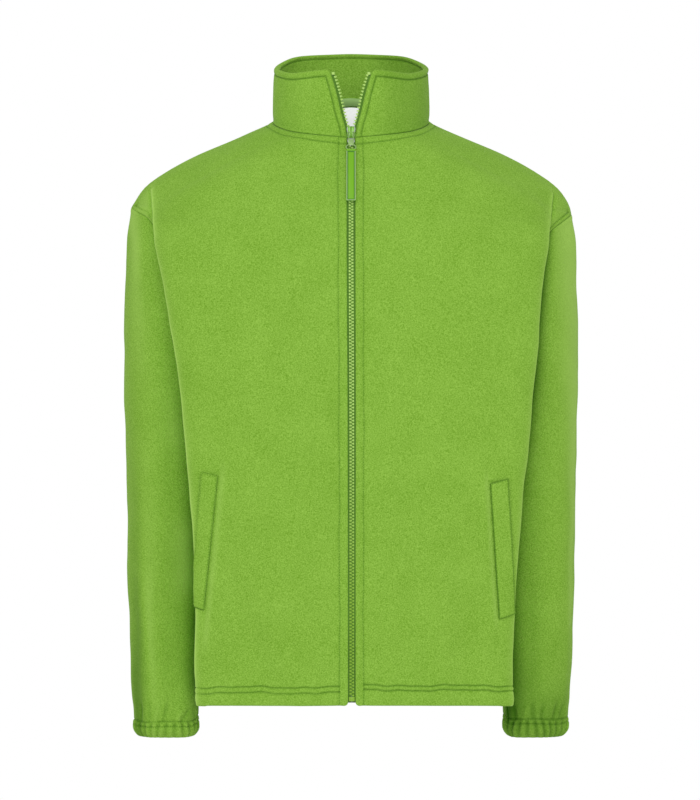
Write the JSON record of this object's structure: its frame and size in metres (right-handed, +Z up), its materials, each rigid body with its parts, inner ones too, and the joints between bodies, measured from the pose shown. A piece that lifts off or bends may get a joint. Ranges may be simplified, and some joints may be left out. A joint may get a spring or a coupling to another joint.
{
  "type": "fleece jacket",
  "caption": "Full-zip fleece jacket with a stand collar, long sleeves gathered at their ends and slanted welt pockets, filled out as worn and open inside.",
  "frame": {"origin": "between the wearer's shoulders, midway between the sides of the neck seam, where the jacket hangs on its wearer", "axes": "+X to the wearer's left, -Y out of the zipped front, +Z up along the wearer"},
  "size_m": [0.548, 0.2678, 0.83],
  "materials": {
    "front_left": "brushed fleece",
    "front_right": "brushed fleece",
    "back": "brushed fleece",
    "sleeve_left": "brushed fleece",
    "sleeve_right": "brushed fleece",
    "collar": "brushed fleece",
    "pocket_welt_left": "brushed fleece",
    "pocket_welt_right": "brushed fleece",
    "neck_tape": "woven tape",
    "neck_label": "plain woven",
    "zip_tape_left": "woven tape",
    "zip_tape_right": "woven tape",
    "zip_chain": "moulded",
    "zip_teeth_left": "moulded",
    "zip_teeth_right": "moulded",
    "zip_box": "moulded",
    "zip_slider": "satin",
    "zip_pull": "satin",
    "zip_tab": "glossy"
  },
  "bodies": {
    "jacket": {"front_left": "front_left", "front_right": "front_right", "back": "back", "sleeve_left": "sleeve_left", "sleeve_right": "sleeve_right", "collar": "collar", "pocket_welt_left": "pocket_welt_left", "pocket_welt_right": "pocket_welt_right", "neck_tape": "neck_tape", "neck_label": "neck_label", "zip_tape_left": "zip_tape_left", "zip_tape_right": "zip_tape_right", "zip_chain": "zip_chain", "zip_teeth_left": "zip_teeth_left", "zip_teeth_right": "zip_teeth_right", "zip_box": "zip_box", "zip_slider": "zip_slider"},
    "pull": {"zip_pull": "zip_pull", "zip_tab": "zip_tab"}
  },
  "joints": [
    {"name": "pull_swing", "type": "hinge", "parent": "jacket", "child": "pull", "pos_m": [0, -0.0829, -0.0115], "axis": [-1, 0, 0], "range_deg": [0, 150]}
  ]
}
